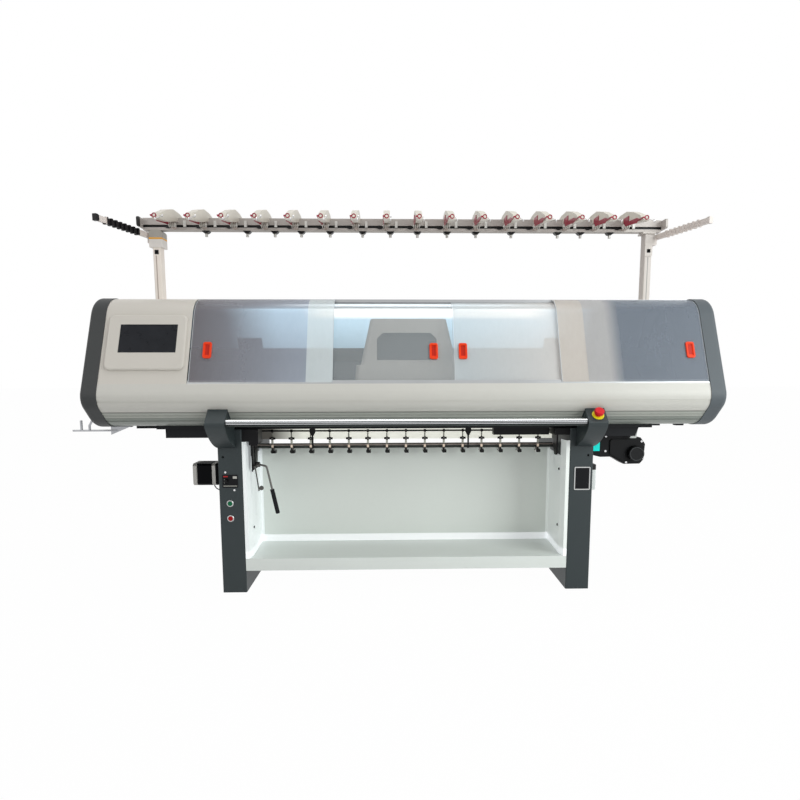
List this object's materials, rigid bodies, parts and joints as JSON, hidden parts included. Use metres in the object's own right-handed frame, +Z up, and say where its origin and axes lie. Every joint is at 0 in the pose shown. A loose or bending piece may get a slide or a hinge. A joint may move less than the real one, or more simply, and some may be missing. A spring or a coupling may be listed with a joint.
{
  "type": "flat knitting machine",
  "caption": "Computerised flat knitting machine with two V needle beds, sliding doors, start bar, cloth trough and a yarn stand.",
  "frame": {"origin": "point on the floor midway between the two legs", "axes": "+X along the needle beds to the operator's right, +Y to the back, +Z up"},
  "size_m": [2.818, 0.8874, 1.735],
  "materials": {
    "charcoal_paint": "satin powder coat",
    "cap_moulding": "fine texture",
    "cover_paint": "satin paint",
    "smoked_acrylic": "clear, lightly smoked",
    "screen_glass": "glossy",
    "orange_pull": "gloss",
    "aluminium": "satin anodised",
    "light_strip": "lit diffuser",
    "iron_casting": "painted casting",
    "ground_steel": "ground",
    "hood_moulding": "fine texture",
    "belt_rubber": "matt",
    "trough_enamel": "semi-gloss",
    "black_steel": "satin",
    "roller_cover": "ribbed",
    "press_nylon": "matt",
    "chrome": "polished",
    "soft_grip": "matt",
    "crank_steel": "turned",
    "motor_black": "satin",
    "lead_sleeve": "matt",
    "side_paint": "satin",
    "device_white": "satin",
    "guide_red": "gloss",
    "arm_wire": "polished wire",
    "clamp_black": "matt",
    "arm_metal": "satin",
    "hook_steel": "zinc plated",
    "plate_black": "matt",
    "signal_green": "gloss",
    "signal_red": "gloss",
    "signal_yellow": "satin"
  },
  "bodies": {
    "machine": {"bed_girder": "iron_casting", "button_bezels": "chrome", "console_panel": "cover_paint", "cross_rails": "ground_steel", "door_tracks": "aluminium", "drive_belt": "belt_rubber", "drive_gearbox": "motor_black", "drive_motor": "motor_black", "estop_ring": "signal_yellow", "front_needle_bed": "ground_steel", "hook_bracket": "hook_steel", "left_bar_bracket": "charcoal_paint", "left_end_cap": "cap_moulding", "left_leg": "charcoal_paint", "leg_plates": "plate_black", "light_bar": "light_strip", "lower_front_cover": "cover_paint", "rail_clamps": "clamp_black", "rear_cover": "cover_paint", "right_bar_bracket": "charcoal_paint", "right_end_cap": "cap_moulding", "right_leg": "charcoal_paint", "side_arms": "arm_metal", "side_boxes": "side_paint", "stand_posts": "cover_paint", "stepper_lead": "lead_sleeve", "stop_motions": "device_white", "takedown_frame": "black_steel", "takedown_stepper": "motor_black", "tie_beam": "aluminium", "touch_screen": "screen_glass", "trough_floor": "trough_enamel", "trough_walls": "trough_enamel", "yarn_guides": "guide_red", "yarn_rail": "aluminium"},
    "rear_bed": {"rear_needle_bed": "ground_steel"},
    "carriage": {"carriage_hood": "hood_moulding", "carriage_saddle": "ground_steel"},
    "pulley_left": {"left_pulley": "aluminium"},
    "pulley_right": {"right_pulley": "aluminium"},
    "door_far_left": {"far_left_door": "smoked_acrylic", "far_left_pull": "orange_pull"},
    "door_mid_left": {"mid_left_door": "smoked_acrylic", "mid_left_pull": "orange_pull"},
    "door_mid_right": {"mid_right_door": "smoked_acrylic", "mid_right_pull": "orange_pull"},
    "door_far_right": {"far_right_door": "smoked_acrylic", "far_right_pull": "orange_pull"},
    "starting_bar": {"start_bar": "aluminium"},
    "stop_button": {"estop_head": "signal_red"},
    "start_button": {"green_button": "signal_green"},
    "halt_button": {"red_button": "signal_red"},
    "breaker": {"breaker_toggle": "plate_black"},
    "roller": {"takedown_roller": "roller_cover"},
    "pressers": {"press_rollers": "press_nylon"},
    "lever": {"release_lever": "chrome", "lever_grip": "soft_grip"},
    "crank": {"hand_crank": "crank_steel"},
    "sensing_arms": {"yarn_arms": "arm_wire"},
    "feeders": {"yarn_feeders": "ground_steel"}
  },
  "joints": [
    {"name": "carriage_travel", "type": "slide", "parent": "machine", "child": "carriage", "axis": [1, 0, 0], "range_m": [-0.9, 0.9]},
    {"name": "left_pulley_spin", "type": "hinge", "parent": "machine", "child": "pulley_left", "pos_m": [-1.215, 0.177, 0.895], "axis": [0, 1, 0], "range_deg": [-1650, 1650]},
    {"name": "right_pulley_spin", "type": "hinge", "parent": "machine", "child": "pulley_right", "pos_m": [1.215, 0.177, 0.895], "axis": [0, 1, 0], "range_deg": [-1650, 1650]},
    {"name": "bed_racking", "type": "slide", "parent": "machine", "child": "rear_bed", "axis": [1, 0, 0], "range_m": [-0.025, 0.025]},
    {"name": "feeder_travel", "type": "slide", "parent": "machine", "child": "feeders", "axis": [1, 0, 0], "range_m": [0, 1.95]},
    {"name": "far_left_door_slide", "type": "slide", "parent": "machine", "child": "door_far_left", "axis": [1, 0, 0], "range_m": [0, 0.47]},
    {"name": "mid_left_door_slide", "type": "slide", "parent": "machine", "child": "door_mid_left", "axis": [1, 0, 0], "range_m": [-0.47, 0]},
    {"name": "mid_right_door_slide", "type": "slide", "parent": "machine", "child": "door_mid_right", "axis": [1, 0, 0], "range_m": [0, 0.47]},
    {"name": "far_right_door_slide", "type": "slide", "parent": "machine", "child": "door_far_right", "axis": [1, 0, 0], "range_m": [-0.47, 0]},
    {"name": "start_bar_twist", "type": "hinge", "parent": "machine", "child": "starting_bar", "pos_m": [0, -0.428, 0.7825], "axis": [1, 0, 0], "range_deg": [-20, 20], "stiffness_Nm_per_rad": 3},
    {"name": "stop_press", "type": "slide", "parent": "machine", "child": "stop_button", "axis": [0, 0.6881, -0.7256], "range_m": [0, 0.004], "stiffness_N_per_m": 1500, "springref_m": -0.002},
    {"name": "green_press", "type": "slide", "parent": "machine", "child": "start_button", "axis": [0, 1, 0], "range_m": [0, 0.003], "stiffness_N_per_m": 500, "springref_m": -0.001},
    {"name": "red_press", "type": "slide", "parent": "machine", "child": "halt_button", "axis": [0, 1, 0], "range_m": [0, 0.003], "stiffness_N_per_m": 500, "springref_m": -0.001},
    {"name": "breaker_throw", "type": "hinge", "parent": "machine", "child": "breaker", "pos_m": [-0.799, -0.2905, 0.512], "axis": [1, 0, 0], "range_deg": [0, 35]},
    {"name": "roller_spin", "type": "hinge", "parent": "machine", "child": "roller", "pos_m": [0, -0.06, 0.639], "axis": [1, 0, 0], "continuous": true},
    {"name": "press_spin", "type": "hinge", "parent": "machine", "child": "pressers", "pos_m": [0, -0.064, 0.61594], "axis": [1, 0, 0], "continuous": true},
    {"name": "release_swing", "type": "hinge", "parent": "machine", "child": "lever", "pos_m": [-0.684, -0.203, 0.572], "axis": [-1, 0, 0], "range_deg": [0, 60]},
    {"name": "crank_swing", "type": "hinge", "parent": "machine", "child": "crank", "pos_m": [-0.684, -0.257, 0.57], "axis": [1, 0, 0], "range_deg": [0, 40]},
    {"name": "arm_tilt", "type": "hinge", "parent": "machine", "child": "sensing_arms", "pos_m": [0, -0.175, 1.67], "axis": [1, 0, 0], "range_deg": [0, 30], "stiffness_Nm_per_rad": 0.3, "springref_deg": -28.65}
  ],
  "couplings": [
    {"joint": "left_pulley_spin", "follows": "carriage_travel", "rad_per_m": 31.447},
    {"joint": "right_pulley_spin", "follows": "carriage_travel", "rad_per_m": 31.447},
    {"joint": "press_spin", "follows": "roller_spin", "ratio": -1.0909}
  ]
}
